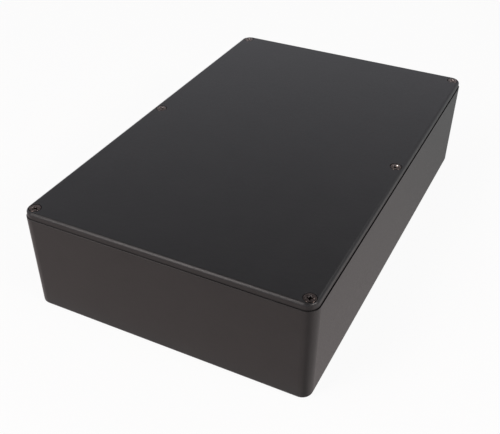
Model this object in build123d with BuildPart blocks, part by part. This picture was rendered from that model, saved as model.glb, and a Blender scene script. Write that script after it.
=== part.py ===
from build123d import *
from math import radians, tan
import os

os.makedirs("parts", exist_ok=True)

# A cast box with a screwed lid. Millimetres, with the underside at Z = 0,
# X across the box and Y along it.
box_length = 275
box_width = 175
box_height = 66
corner_radius = 7.3
draft_angle = 1.0

# Base casting
wall_thickness = 3.0
floor_thickness = 3.0
bottom_rounding = 2.0
rim_chamfer = 0.12
floor_chamfer = 1.2

# Screw bosses, one in each corner and one half way along each long wall
boss_radius = 4.3
boss_fillet = 1.8
flat_fillet_ratio = 0.8
screw_inset_x = 5.6
screw_inset_y = 6.1
tapped_depth = 14

# Lid casting
lid_edge_height = 4.1
lid_setback = 0.5
lid_plate_thickness = 3.0
lid_top_rounding = 1.8
lip_depth = 2.5
lip_thickness = 1.6
lip_clearance = 0.35
lid_hole_diameter = 4.0
countersink_diameter = 7.45
countersink_angle = 90

# Countersunk screws with a cross recess
thread_diameter = 3.5
thread_clearance = 0.05
screw_length = 12
head_diameter = 6.5
head_rim_height = 0.3
seat_clearance = 0.05
recess_span = 4.2
recess_width = 1.0
recess_depth = 2.0
recess_floor_span = 1.3

# Heights and places that follow from the sizes above
seam_height = box_height - lid_edge_height
cavity_depth = seam_height - floor_thickness
cavity_width = box_width - 2 * wall_thickness
cavity_length = box_length - 2 * wall_thickness
lid_width = box_width - 2 * lid_setback
lid_length = box_length - 2 * lid_setback
screw_x = box_width / 2 - screw_inset_x
screw_y = box_length / 2 - screw_inset_y
cone_slope = tan(radians(countersink_angle / 2))
# A boss has flat sides only from the wall to its screw's axis, and its fillets run out on them
boss_flat = min(screw_inset_x, screw_inset_y) - wall_thickness
wall_fillet = min(boss_fillet, boss_flat * flat_fillet_ratio)

# Which side of the box each screw is on, across and along, and how far its cross is turned
screw_places = {
    "front_left": (-1, -1, 75),
    "front_right": (1, -1, 15),
    "left_middle": (-1, 0, 63),
    "right_middle": (1, 0, 80),
    "back_left": (-1, 1, 45),
    "back_right": (1, 1, 30),
}
screw_axes = [(screw_x * across, screw_y * along) for across, along, turn in screw_places.values()]


def bosses_to_side_walls(radius, mode=Mode.ADD):
    # A boss reaches from its screw out past the wall, so only its inner end is free
    with GridLocations(2 * screw_x + screw_inset_x, screw_y, 2, 3):
        SlotCenterToCenter(screw_inset_x, 2 * radius, mode=mode)


def bosses_to_end_walls(radius, mode=Mode.ADD):
    with GridLocations(2 * screw_x, 2 * screw_y + screw_inset_y, 2, 2):
        SlotCenterToCenter(screw_inset_y, 2 * radius, rotation=90, mode=mode)


def cavity_outline(inset):
    # The line of the cavity at the seam, moved inwards, with its notches round the bosses
    Rectangle(cavity_width - 2 * inset, cavity_length - 2 * inset)
    bosses_to_side_walls(boss_radius + inset, Mode.SUBTRACT)
    bosses_to_end_walls(boss_radius + inset, Mode.SUBTRACT)


def outermost(shapes):
    # The corners or faces that lie furthest out on the four sides
    across = shapes.group_by(Axis.X)
    along = shapes.group_by(Axis.Y)
    return across[0] + across[-1] + along[0] + along[-1]


# The core is the hollow of the base as a solid: drafted walls and bosses, and eased corners
with BuildPart() as core:
    with BuildSketch(Plane.XY.offset(seam_height)):
        RectangleRounded(cavity_width, cavity_length, boss_flat)
    extrude(amount=-cavity_depth, taper=draft_angle)
    for bosses in (bosses_to_side_walls, bosses_to_end_walls):
        with BuildSketch(Plane.XY.offset(seam_height)):
            bosses(boss_radius)
        extrude(amount=-cavity_depth, taper=-draft_angle, mode=Mode.SUBTRACT)
    wall_edges = outermost(core.faces()).edges()
    fillet(wall_edges.filter_by(Plane.XY, reverse=True), wall_fillet)
    chamfer(core.edges().group_by(Axis.Z)[0], floor_chamfer)

# Base: one drafted casting, open at the seam, with the bosses drilled and tapped
with BuildPart() as base:
    with BuildSketch(Plane.XY.offset(seam_height)):
        RectangleRounded(box_width, box_length, corner_radius)
    extrude(amount=-seam_height, taper=draft_angle)
    fillet(base.faces().sort_by(Axis.Z)[0].edges(), bottom_rounding)
    chamfer(base.faces().sort_by(Axis.Z)[-1].edges(), rim_chamfer)
    add(core.part, mode=Mode.SUBTRACT)
    with Locations(*[(x, y, seam_height) for x, y in screw_axes]):
        Hole(thread_diameter / 2 + thread_clearance, depth=tapped_depth)
base.part.label = "base"
export_step(base.part, "parts/base.step")

# Lid: its edge seats on the bosses and on the rim, set back a little from the rim's outer edge,
# and its lip stands inside the walls
with BuildPart() as lid:
    with BuildSketch(Plane.XY.offset(seam_height)):
        RectangleRounded(lid_width, lid_length, corner_radius - lid_setback)
    extrude(amount=lid_edge_height, taper=draft_angle)
    fillet(lid.faces().sort_by(Axis.Z)[-1].edges(), lid_top_rounding)
    chamfer(lid.faces().sort_by(Axis.Z)[0].edges(), rim_chamfer)
    with BuildSketch(Plane.XY.offset(seam_height)) as lip_plan:
        cavity_outline(lip_clearance)
        fillet(outermost(lip_plan.vertices()), wall_fillet - lip_clearance)
    extrude(amount=-lip_depth)
    with BuildSketch(Plane.XY.offset(box_height - lid_plate_thickness)):
        cavity_outline(lip_clearance + lip_thickness)
    extrude(amount=-(lip_depth + lid_edge_height - lid_plate_thickness), mode=Mode.SUBTRACT)
    with Locations(*[(x, y, box_height) for x, y in screw_axes]):
        CounterSinkHole(
            lid_hole_diameter / 2,
            countersink_diameter / 2,
            depth=lid_edge_height + lip_depth,
            counter_sink_angle=countersink_angle,
        )
lid.part.label = "lid"
export_step(lid.part, "parts/lid.step")

# Screw: turned blank with the cross driven into its head, top of the head at Z = 0
with BuildPart() as recess:
    for wings in (Plane.XZ, Plane.YZ):
        with BuildSketch(wings):
            with BuildLine():
                Polyline(
                    (-recess_span / 2, 0),
                    (recess_span / 2, 0),
                    (recess_floor_span / 2, -recess_depth),
                    (-recess_floor_span / 2, -recess_depth),
                    close=True,
                )
            make_face()
        extrude(amount=recess_width / 2, both=True)

head_radius = head_diameter / 2
thread_radius = thread_diameter / 2
neck_depth = head_rim_height + (head_radius - thread_radius) / cone_slope
with BuildPart() as screw_blank:
    with BuildSketch(Plane.XZ):
        with BuildLine():
            Polyline(
                (0, 0),
                (head_radius, 0),
                (head_radius, -head_rim_height),
                (thread_radius, -neck_depth),
                (thread_radius, -screw_length),
                (0, -screw_length),
                close=True,
            )
        make_face()
    revolve(axis=Axis.Z)
    add(recess.part, mode=Mode.SUBTRACT)

# The cone of the head follows the countersink, a seat clearance above it
head_sink = (countersink_diameter - head_diameter) / 2 / cone_slope - head_rim_height
head_top = box_height - head_sink + seat_clearance
for place, (across, along, turn) in screw_places.items():
    with BuildPart() as screw:
        with Locations(Location((screw_x * across, screw_y * along, head_top), (0, 0, turn))):
            add(screw_blank.part)
    screw.part.label = "lid_screw_" + place
    export_step(screw.part, "parts/lid_screw_" + place + ".step")
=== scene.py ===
from math import cos, pi, radians, sin

import bmesh
import bpy
from mathutils import Matrix, Vector


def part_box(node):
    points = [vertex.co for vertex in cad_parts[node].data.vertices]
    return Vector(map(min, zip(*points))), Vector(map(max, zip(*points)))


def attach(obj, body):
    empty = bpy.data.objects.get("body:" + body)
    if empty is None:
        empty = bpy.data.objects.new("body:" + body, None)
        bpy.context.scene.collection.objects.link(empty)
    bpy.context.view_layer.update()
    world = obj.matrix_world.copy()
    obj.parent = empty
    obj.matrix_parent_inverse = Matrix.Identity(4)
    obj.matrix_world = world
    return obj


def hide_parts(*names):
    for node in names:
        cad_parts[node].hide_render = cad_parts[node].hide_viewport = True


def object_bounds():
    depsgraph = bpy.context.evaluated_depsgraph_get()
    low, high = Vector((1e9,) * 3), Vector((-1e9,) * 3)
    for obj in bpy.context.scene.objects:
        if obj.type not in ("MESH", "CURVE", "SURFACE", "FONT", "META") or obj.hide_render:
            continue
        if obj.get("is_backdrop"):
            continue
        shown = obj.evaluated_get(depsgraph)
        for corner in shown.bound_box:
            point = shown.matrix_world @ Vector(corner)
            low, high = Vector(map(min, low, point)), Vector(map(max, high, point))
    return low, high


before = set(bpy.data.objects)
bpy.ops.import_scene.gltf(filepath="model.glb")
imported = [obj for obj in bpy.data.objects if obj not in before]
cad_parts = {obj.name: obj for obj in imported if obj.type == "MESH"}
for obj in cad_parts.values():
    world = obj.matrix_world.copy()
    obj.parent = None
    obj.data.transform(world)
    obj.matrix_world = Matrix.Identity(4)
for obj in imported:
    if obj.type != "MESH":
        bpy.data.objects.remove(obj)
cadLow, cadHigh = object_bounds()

mm = 0.001
white = (1.0, 1.0, 1.0)
print("frame loaded:", len(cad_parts), "nodes")


# Helpers for objects and shader nodes

def addObject(name, data):
    thing = bpy.data.objects.new(name, data)
    bpy.context.scene.collection.objects.link(thing)
    return thing


def newMaterial(name):
    material = bpy.data.materials.new(name)
    material.use_nodes = True
    tree = material.node_tree
    tree.nodes.clear()
    output = tree.nodes.new("ShaderNodeOutputMaterial")
    return material, tree, output


def fill(tree, socket, value):
    # The value is a number, a colour or another node's output
    if isinstance(value, bpy.types.NodeSocket):
        tree.links.new(value, socket)
    else:
        socket.default_value = value


def addNode(tree, kind, sockets=None, **settings):
    node = tree.nodes.new(kind)
    for key, value in settings.items():
        setattr(node, key, value)
    for key, value in (sockets or {}).items():
        fill(tree, node.inputs[key], value)
    return node


def objectPlace(tree):
    return addNode(tree, "ShaderNodeTexCoord").outputs["Object"]


def axesOf(tree, place):
    return addNode(tree, "ShaderNodeSeparateXYZ", {"Vector": place}).outputs


def noiseAt(tree, place, grainSize, detail=2.0, roughness=0.5):
    # Scale is one over the grain's size in metres
    sockets = {"Vector": place, "Scale": 1 / grainSize, "Detail": detail, "Roughness": roughness}
    return addNode(tree, "ShaderNodeTexNoise", sockets).outputs["Fac"]


def ramp(tree, value, low, high, fromLow=0.3, fromHigh=0.7):
    # Goes from low to high while the value goes from fromLow to fromHigh
    sockets = {"Value": value, "From Min": fromLow, "From Max": fromHigh, "To Min": low, "To Max": high}
    return addNode(tree, "ShaderNodeMapRange", sockets, clamp=True).outputs["Result"]


def mathNode(tree, operation, first, second=0.0):
    node = addNode(tree, "ShaderNodeMath", operation=operation)
    for socket, value in zip(node.inputs, (first, second)):
        fill(tree, socket, value)
    return node.outputs[0]


def vectorNode(tree, operation, *values):
    node = addNode(tree, "ShaderNodeVectorMath", operation=operation)
    for socket, value in zip(node.inputs, values):
        fill(tree, socket, value)
    return node


def lengthOf(tree, x, y):
    xSquare = mathNode(tree, "MULTIPLY", x, x)
    ySquare = mathNode(tree, "MULTIPLY", y, y)
    return mathNode(tree, "SQRT", mathNode(tree, "ADD", xSquare, ySquare))


def band(tree, value, low, high, blur):
    # One between low and high, nought outside, with soft edges
    rising = ramp(tree, value, 0, 1, low - blur, low + blur)
    falling = ramp(tree, value, 1, 0, high - blur, high + blur)
    return mathNode(tree, "MULTIPLY", rising, falling)


def colourMix(tree, factor, first, second):
    # Each colour is three numbers or another node's output
    node = addNode(tree, "ShaderNodeMix", data_type="RGBA")
    fill(tree, node.inputs[0], factor)
    for socket, colour in ((node.inputs[6], first), (node.inputs[7], second)):
        fill(tree, socket, (*colour, 1) if isinstance(colour, tuple) else colour)
    return node.outputs[2]


def shaderMix(tree, share, first, second):
    # The share is the second shader's
    node = addNode(tree, "ShaderNodeMixShader")
    for socket, value in zip(node.inputs, (share, first.outputs[0], second.outputs[0])):
        fill(tree, socket, value)
    return node


def bumpFrom(tree, height, depth, below=None):
    # Depth is how far the height's full swing reaches, in metres
    node = addNode(tree, "ShaderNodeBump", {"Height": height, "Distance": depth, "Strength": 1.0})
    if below:
        tree.links.new(below, node.inputs["Normal"])
    return node.outputs["Normal"]


# Black powder coat of the two castings

blackCoat = {
    "colour": (0.0100, 0.0100, 0.0103),
    "paler": (0.0125, 0.0125, 0.0127),
    "cloudSize": 18 * mm,                    # of the patches in which the coat is paler
    "roughness": (0.33, 0.41),
    "ior": 1.5,
    "shine": 0.5,                            # specular level, taken to nought where shade is painted in
    "grainSize": 0.8 * mm,
    "grainDepth": 0.030 * mm,
    "peelSize": 3.5 * mm,
    "peelDepth": 0.032 * mm,
    "waveSize": 45 * mm,
    "waveDepth": 0.05 * mm,
    "screwAxis": (81.9 * mm, 131.4 * mm),    # of a corner screw; the middle ones are at Y = 0
    "sinkRadius": (3.69 * mm, 3.72 * mm),    # of the countersinks, inside which the shine is taken away as painted shade
    "seam": (61.66 * mm, 62.26 * mm),        # heights between which the shine is taken away as painted shade along the seam
    "seamBlur": 0.08 * mm,
    "endsShade": 0.50,                    # how strong the seam's painted shade gets on the two short sides
    "endsFrom": (-80 * mm, 40 * mm),         # places in X between which the painted shade grows to that strength
    "sideFrom": (80 * mm, 87 * mm),          # places in X between which the painted shade grows to full strength
}


def inCountersink(tree, place):
    # One inside the six countersinks, nought elsewhere; the coat gets painted shade there
    c = blackCoat
    axes = axesOf(tree, place)
    axisX, axisY = c["screwAxis"]
    fromMiddle = mathNode(tree, "ABSOLUTE", axes["X"])
    across = mathNode(tree, "SUBTRACT", fromMiddle, axisX)
    along = mathNode(tree, "ABSOLUTE", axes["Y"])
    fromCorner = mathNode(tree, "ABSOLUTE", mathNode(tree, "SUBTRACT", along, axisY))
    nearest = mathNode(tree, "MINIMUM", along, fromCorner)
    return ramp(tree, lengthOf(tree, across, nearest), 1, 0, *c["sinkRadius"])


def seamPaintedShade(tree, place):
    # Painted shade along the seam between lid and base, at full strength on the right side
    c = blackCoat
    axes = axesOf(tree, place)
    onEnds = ramp(tree, axes["X"], 0, c["endsShade"], *c["endsFrom"])
    onSide = ramp(tree, axes["X"], 0, 1, *c["sideFrom"])
    seamShadeStrength = mathNode(tree, "MAXIMUM", onEnds, onSide)
    atHeight = band(tree, axes["Z"], *c["seam"], c["seamBlur"])
    return mathNode(tree, "MULTIPLY", atHeight, seamShadeStrength)


def makeBlackCoat():
    c = blackCoat
    material, tree, output = newMaterial("blackCoat")
    place = objectPlace(tree)
    grain = noiseAt(tree, place, c["grainSize"], detail=3.0, roughness=0.6)
    peel = noiseAt(tree, place, c["peelSize"])
    wave = noiseAt(tree, place, c["waveSize"], detail=1.0)
    clouds = noiseAt(tree, place, c["cloudSize"], detail=4.0, roughness=0.6)
    normal = bumpFrom(tree, wave, c["waveDepth"])
    normal = bumpFrom(tree, peel, c["peelDepth"], normal)
    normal = bumpFrom(tree, grain, c["grainDepth"], normal)
    # Painted shade: the shine is taken away in the countersinks and along the seam
    paintedShade = mathNode(tree, "MAXIMUM", inCountersink(tree, place), seamPaintedShade(tree, place))
    shader = addNode(tree, "ShaderNodeBsdfPrincipled", {
        "Base Color": colourMix(tree, ramp(tree, clouds, 0, 1), c["colour"], c["paler"]),
        "Roughness": ramp(tree, grain, *c["roughness"]),
        "IOR": c["ior"],
        "Normal": normal,
        "Specular IOR Level": ramp(tree, paintedShade, c["shine"], 0, 0, 1),
    })
    tree.links.new(shader.outputs[0], output.inputs["Surface"])
    return material


coatMaterial = makeBlackCoat()
for nodeName in ("base", "lid"):
    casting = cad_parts[nodeName]
    for slot in casting.material_slots:
        slot.material = coatMaterial
print("castings coated")


# Bronzed steel of the screws

bronzedSteel = {
    "colour": (0.28, 0.225, 0.20),
    "darker": (0.07, 0.055, 0.05),
    "patchSize": 1.1 * mm,
    "roughness": (0.13, 0.24),
    "grainSize": 0.25 * mm,
    "grainDepth": 0.004 * mm,
    "worn": (0.38, 0.355, 0.34),
    "wornHeights": (-0.36 * mm, -0.02 * mm),      # where the driver has bared the edges of the cross
    "wornBlur": 0.015 * mm,
    "wornRadius": (2.40 * mm, 2.45 * mm),
    "recessShade": (0.012, 0.010, 0.009),
    "recessShadeHeights": (-0.30 * mm, -0.90 * mm),     # heights between which the metal is darkened with painted shade, deep in the cross and down the shank
}


def makeBronzedSteel():
    c = bronzedSteel
    material, tree, output = newMaterial("bronzedSteel")
    place = objectPlace(tree)
    # The patches follow the place in the scene, so that no two screws are alike
    placeInScene = addNode(tree, "ShaderNodeNewGeometry").outputs["Position"]
    patches = noiseAt(tree, placeInScene, c["patchSize"], detail=4.0, roughness=0.6)
    grain = noiseAt(tree, place, c["grainSize"])
    axes = axesOf(tree, place)
    worn = mathNode(
        tree, "MULTIPLY",
        band(tree, axes["Z"], *c["wornHeights"], c["wornBlur"]),
        ramp(tree, lengthOf(tree, axes["X"], axes["Y"]), 1, 0, *c["wornRadius"]),
    )
    # Painted shade deep in the cross and down the shank
    deep = ramp(tree, axes["Z"], 0, 1, *c["recessShadeHeights"])
    bronze = colourMix(tree, ramp(tree, patches, 0, 1), c["colour"], c["darker"])
    shader = addNode(tree, "ShaderNodeBsdfPrincipled", {
        "Base Color": colourMix(tree, deep, colourMix(tree, worn, bronze, c["worn"]), c["recessShade"]),
        "Roughness": ramp(tree, grain, *c["roughness"]),
        "Normal": bumpFrom(tree, grain, c["grainDepth"]),
        "Metallic": 1.0,
    })
    tree.links.new(shader.outputs[0], output.inputs["Surface"])
    return material


# Lid screws: a turned head and a rolled thread as one lathed grid, with the cross driven in.
# The top of the head is at Z = 0 of each screw.

lidScrew = {
    "headRadius": 3.25 * mm,
    "topRings": (0.4, 0.75),                 # radii of the rings on the flat top, as shares of the head's
    "rimHeight": 0.30 * mm,
    "rimRounding": 0.12 * mm,
    "rimSteps": 4,
    "shankRadius": 1.72 * mm,
    "threadDepth": 0.30 * mm,
    "pitch": 0.60 * mm,
    "length": 12 * mm,
    "tipTaper": 0.8 * mm,
    "around": 72,
    "ringsPerPitch": 8,
    "crossSpan": 4.1 * mm,
    "crossFloorSpan": 1.3 * mm,
    "crossWidth": 0.95 * mm,
    "crossFloorWidth": 0.60 * mm,
    "crossDepth": 2.0 * mm,
    "socketRadius": 1.15 * mm,
    "socketFloorRadius": 0.45 * mm,
    "socketSides": 24,
    "cutterRise": 0.2 * mm,                  # how far the cutters stand out of the head
    "edgeRounding": 0.14 * mm,
    "edgeSegments": 3,
    "roundedFrom": 50,                       # degrees from which an edge is rounded
    "sharpFrom": 35,                         # degrees from which what is left is shaded as an edge
    "turns": {
        "front_left": 75,
        "front_right": 15,
        "left_middle": 63,
        "right_middle": 80,
        "back_left": 45,
        "back_right": 30,
    },
}


def meshObject(name, mesh):
    data = bpy.data.meshes.new(name)
    mesh.to_mesh(data)
    mesh.free()
    return addObject(name, data)


def headProfile():
    # Radius and height from the middle of the head's top, down its cone to the shank
    s = lidScrew
    rim = s["headRadius"]
    rounding = s["rimRounding"]
    points = [(rim * share, 0) for share in s["topRings"]]
    points.append((rim - rounding, 0))
    for step in range(1, s["rimSteps"] + 1):
        angle = pi / 2 * step / s["rimSteps"]
        points.append((rim - rounding * (1 - sin(angle)), -rounding * (1 - cos(angle))))
    neckDrop = s["rimHeight"] + rim - s["shankRadius"]
    points.append((rim, -s["rimHeight"]))
    points.append((s["shankRadius"], -neckDrop))
    return points, neckDrop


def threadRadius(angle, height, neckDrop):
    # The crest climbs one pitch for each turn, and runs out at the neck and at the tip
    s = lidScrew
    phase = (height / s["pitch"] - angle / (2 * pi)) % 1
    groove = 1 - abs(2 * phase - 1)
    fromNeck = -height - neckDrop
    fromTip = s["length"] + height
    runOut = min(1, max(0, fromNeck / s["pitch"]))
    tip = max(0, 1 - fromTip / s["tipTaper"]) * s["threadDepth"]
    return s["shankRadius"] - s["threadDepth"] * groove * runOut - tip


def screwBlank():
    s = lidScrew
    around = s["around"]
    angles = [2 * pi * k / around for k in range(around)]
    profile, neckDrop = headProfile()
    rings = [[(radius, height)] * around for radius, height in profile]
    threadLength = s["length"] - neckDrop
    count = int(threadLength / s["pitch"] * s["ringsPerPitch"])
    for step in range(1, count + 1):
        height = -neckDrop - threadLength * step / count
        rings.append([(threadRadius(angle, height, neckDrop), height) for angle in angles])
    mesh = bmesh.new()
    loops = []
    for ring in rings:
        loop = []
        for angle, (radius, height) in zip(angles, ring):
            loop.append(mesh.verts.new((radius * cos(angle), radius * sin(angle), height)))
        loops.append(loop)
    for upper, lower in zip(loops, loops[1:]):
        for k in range(around):
            nextK = (k + 1) % around
            mesh.faces.new((upper[k], lower[k], lower[nextK], upper[nextK]))
    mesh.faces.new(loops[0])
    mesh.faces.new(list(reversed(loops[-1])))
    bmesh.ops.recalc_face_normals(mesh, faces=mesh.faces)
    return meshObject("screwBlank", mesh)


def crossWing(topX, topY, floorX, floorY, top, floor):
    # A block whose sides lean in as it goes down; sizes are whole widths
    mesh = bmesh.new()
    corners = ((-1, -1), (1, -1), (1, 1), (-1, 1))
    upper = [mesh.verts.new((x * topX / 2, y * topY / 2, top)) for x, y in corners]
    lower = [mesh.verts.new((x * floorX / 2, y * floorY / 2, floor)) for x, y in corners]
    mesh.faces.new(upper)
    mesh.faces.new(list(reversed(lower)))
    for k in range(4):
        mesh.faces.new((lower[k], lower[(k + 1) % 4], upper[(k + 1) % 4], upper[k]))
    bmesh.ops.recalc_face_normals(mesh, faces=mesh.faces)
    return meshObject("crossWing", mesh)


def crossCutters():
    # Two wings and the round socket between them, all a little taller than the head
    s = lidScrew
    rise = s["cutterRise"]
    depth = s["crossDepth"]
    grow = 1 + rise / depth
    floorSpan, floorWidth = s["crossFloorSpan"], s["crossFloorWidth"]
    span = floorSpan + (s["crossSpan"] - floorSpan) * grow
    width = floorWidth + (s["crossWidth"] - floorWidth) * grow
    wings = [
        crossWing(span, width, floorSpan, floorWidth, rise, -depth),
        crossWing(width, span, floorWidth, floorSpan, rise, -depth),
    ]
    floorRadius = s["socketFloorRadius"]
    topRadius = floorRadius + (s["socketRadius"] - floorRadius) * grow
    mesh = bmesh.new()
    bmesh.ops.create_cone(
        mesh, cap_ends=True, segments=s["socketSides"],
        radius1=floorRadius, radius2=topRadius, depth=depth + rise,
    )
    bmesh.ops.translate(mesh, verts=mesh.verts, vec=(0, 0, (rise - depth) / 2))
    return [*wings, meshObject("crossSocket", mesh)]


def appliedMesh(piece):
    bpy.context.view_layer.update()
    graph = bpy.context.evaluated_depsgraph_get()
    return bpy.data.meshes.new_from_object(piece.evaluated_get(graph))


def makeScrewMesh():
    s = lidScrew
    blank = screwBlank()
    cutters = crossCutters()
    for cutter in cutters:
        cut = blank.modifiers.new("cut", "BOOLEAN")
        cut.operation = "DIFFERENCE"
        cut.solver = "EXACT"
        cut.object = cutter
    ease = blank.modifiers.new("ease", "BEVEL")
    ease.width = s["edgeRounding"]
    ease.segments = s["edgeSegments"]
    ease.limit_method = "ANGLE"
    ease.angle_limit = radians(s["roundedFrom"])
    data = appliedMesh(blank)
    for used in (blank, *cutters):
        bpy.data.objects.remove(used)
    for polygon in data.polygons:
        polygon.use_smooth = True
    data.set_sharp_from_angle(angle=radians(s["sharpFrom"]))
    return data


steelMaterial = makeBronzedSteel()
screwMesh = makeScrewMesh()
screwMesh.materials.append(steelMaterial)
for place, turn in lidScrew["turns"].items():
    nodeName = "lid_screw_" + place
    low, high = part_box(nodeName)
    screw = addObject("detailed_" + nodeName, screwMesh)
    screw.location = ((low[0] + high[0]) / 2, (low[1] + high[1]) / 2, high[2])
    screw.rotation_euler.z = radians(turn)
    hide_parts(nodeName)
    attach(screw, "root")
print("screws made:", len(screwMesh.polygons), "faces each")


# Floor and sky. The camera sees both as white. The box mirrors them in the tints below.

studio = {
    "floorSize": 6.0,
    "floorDrop": 0.05 * mm,                  # keeps the floor off the underside of the box
    "floorColour": (0.80, 0.79, 0.785),
    "floorGlow": 0.75,                       # share of the mirrored floor that the box's shadow doesn't dim
    "seenGlow": 0.93,                        # the same for the floor as the camera sees it
    "floorFront": (0.645, 0.53, 0.51),
    "frontBlur": 0.01,                       # from the box's front edge outwards
    "floorBeside": (0.715, 0.64, 0.63),
    "floorBack": (0.35, 0.375, 0.375),
    "backFrom": 0.25,                        # place in Y from which the floor has the back's tint
    "farGain": 1.65,                         # how much brighter the mirrored floor is far out on the right
    "farFrom": (0.13, 0.28),
    "cornerShade": 0.45,                     # strength of the mirrored floor in front of the near corner
    "cornerPlace": (0.080, -0.130),          # the middle of the near corner's rounding
    "cornerAim": (0.669, -0.743),            # the direction from there in which the floor is darkest
    "cornerSpread": (0.90, 0.994),           # cosines of the angles off it between which it darkens
    "skyLow": (0.83, 0.83, 0.89),
    "skyHigh": (0.078, 0.078, 0.088),
    "skyHeights": (0.15, 0.75),              # between which the sky goes from low to high
    "rightShade": 0.68,                      # strength of the sky on the right of the box
    "rightShadeFrom": (-0.12, 0.15),         # between which the sky goes from whole to that strength
}


# The mirrored floor is painted with light and shade: darker in front of the box and towards the back, a
# painted shadow in front of the near corner, and brighter far out on the right
def mirroredFloorColour(tree):
    s = studio
    place = objectPlace(tree)
    axes = axesOf(tree, place)
    boxFront = cadLow[1]
    toBack = ramp(tree, axes["Y"], 0, 1, boxFront, s["backFrom"])
    inFront = ramp(tree, axes["Y"], 1, 0, boxFront - s["frontBlur"], boxFront)
    beside = colourMix(tree, toBack, s["floorBeside"], s["floorBack"])
    tint = colourMix(tree, inFront, beside, s["floorFront"])
    fromCorner = vectorNode(tree, "SUBTRACT", place, (*s["cornerPlace"], 0)).outputs[0]
    direction = vectorNode(tree, "NORMALIZE", fromCorner).outputs[0]
    aimed = vectorNode(tree, "DOT_PRODUCT", direction, (*s["cornerAim"], 0)).outputs["Value"]
    shade = ramp(tree, aimed, 1, s["cornerShade"], *s["cornerSpread"])
    farOut = ramp(tree, axes["X"], 1, s["farGain"], *s["farFrom"])
    scaled = vectorNode(tree, "SCALE", tint)
    fill(tree, scaled.inputs["Scale"], mathNode(tree, "MULTIPLY", shade, farOut))
    return scaled.outputs[0]


def makeFloor():
    half = studio["floorSize"] / 2
    corners = [(-half, -half, 0), (half, -half, 0), (half, half, 0), (-half, half, 0)]
    mesh = bpy.data.meshes.new("floor")
    mesh.from_pydata(corners, [], [(0, 1, 2, 3)])
    floor = addObject("floor", mesh)
    floor.location.z = -studio["floorDrop"]
    material, tree, output = newMaterial("paleFloor")
    rays = addNode(tree, "ShaderNodeLightPath").outputs
    mirroredRay = mathNode(tree, "MAXIMUM", rays["Is Glossy Ray"], rays["Is Transmission Ray"])
    share = mathNode(
        tree, "MAXIMUM",
        mathNode(tree, "MULTIPLY", rays["Is Camera Ray"], studio["seenGlow"]),
        mathNode(tree, "MULTIPLY", mirroredRay, studio["floorGlow"]),
    )
    colour = colourMix(tree, rays["Is Camera Ray"], mirroredFloorColour(tree), white)
    glow = addNode(tree, "ShaderNodeEmission", {"Color": colour, "Strength": 1.0})
    matte = addNode(tree, "ShaderNodeBsdfDiffuse", {"Color": (*studio["floorColour"], 1)})
    mixed = shaderMix(tree, share, matte, glow)
    tree.links.new(mixed.outputs[0], output.inputs["Surface"])
    mesh.materials.append(material)
    floor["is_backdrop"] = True


def makeSky():
    world = bpy.data.worlds.new("studioSky")
    bpy.context.scene.world = world
    world.use_nodes = True
    tree = world.node_tree
    tree.nodes.clear()
    output = tree.nodes.new("ShaderNodeOutputWorld")
    axes = axesOf(tree, addNode(tree, "ShaderNodeTexCoord").outputs["Generated"])
    rise = ramp(tree, axes["Z"], 0, 1, *studio["skyHeights"])
    tint = colourMix(tree, rise, studio["skyLow"], studio["skyHigh"])
    strength = ramp(tree, axes["X"], 1, studio["rightShade"], *studio["rightShadeFrom"])
    sky = addNode(tree, "ShaderNodeBackground", {"Color": tint, "Strength": strength})
    backdrop = addNode(tree, "ShaderNodeBackground", {"Color": (*white, 1), "Strength": 1.0})
    rays = addNode(tree, "ShaderNodeLightPath").outputs
    straight = mathNode(tree, "MAXIMUM", rays["Is Camera Ray"], rays["Is Transmission Ray"])
    mixed = shaderMix(tree, straight, sky, backdrop)
    tree.links.new(mixed.outputs[0], output.inputs["Surface"])


makeFloor()
makeSky()
print("floor and sky ready")


# Softboxes; sizes in metres, power in watts

warmWhite = (1.0, 0.915, 0.89)
softboxes = {
    "topBox": {
        "place": (-0.54, -0.39, 1.10),
        "target": (0, -0.10, 0.06),
        "size": (0.9, 0.6),
        "power": 3.4,
        "colour": warmWhite,
    },
    "frontBox": {
        "place": (-0.51, -0.97, 0.80),
        "target": (0, -0.136, 0.065),        # the front edge of the lid
        "size": (0.45, 1.05),
        "power": 7.4,
        "colour": warmWhite,
    },
    "backBox": {
        "place": (0.42, 0.71, 1.00),
        "target": (0.085, -0.13, 0.065),     # the near corner of the lid
        "size": (0.50, 0.35),
        "power": 1.1,
        "colour": white,
    },
    "sideBox": {
        "place": (1.02, -0.24, 0.78),
        "target": (0.085, -0.13, 0.065),
        "size": (0.62, 0.36),
        "power": 7.2,
        "colour": warmWhite,
    },
}


def addSoftbox(name, box):
    light = bpy.data.lights.new(name, "AREA")
    light.shape = "RECTANGLE"
    light.size, light.size_y = box["size"]
    light.energy = box["power"]
    light.color = box["colour"]
    lamp = addObject(name, light)
    lamp.location = box["place"]
    aim = Vector(box["target"]) - Vector(box["place"])
    lamp.rotation_euler = aim.to_track_quat("-Z", "Y").to_euler()


for name, box in softboxes.items():
    addSoftbox(name, box)
print("softboxes ready:", len(softboxes))


camera = {
    "place": (0.17865, -0.39186, 0.31098),
    "azimuth": 26.30,               # degrees turned left from looking along +Y
    "elevation": 35.65,             # degrees looking down
    "roll": 0.35,
    "focalPixels": 776.3,
    "imageWidth": 500,
    "sensorWidth": 36.0,
    "clipStart": 0.01,
}


def makeCamera():
    data = bpy.data.cameras.new("camera")
    data.sensor_width = camera["sensorWidth"]
    data.lens = camera["focalPixels"] / camera["imageWidth"] * camera["sensorWidth"]
    data.clip_start = camera["clipStart"]
    eye = addObject("camera", data)
    eye.location = camera["place"]
    turned = Matrix.Rotation(radians(camera["azimuth"]), 3, "Z")
    tilted = Matrix.Rotation(radians(90 - camera["elevation"]), 3, "X")
    rolled = Matrix.Rotation(radians(camera["roll"]), 3, "Z")
    eye.rotation_euler = (turned @ tilted @ rolled).to_euler()
    bpy.context.scene.camera = eye


makeCamera()
bpy.context.scene.view_settings.view_transform = "Standard"
print("camera ready")

low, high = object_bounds()
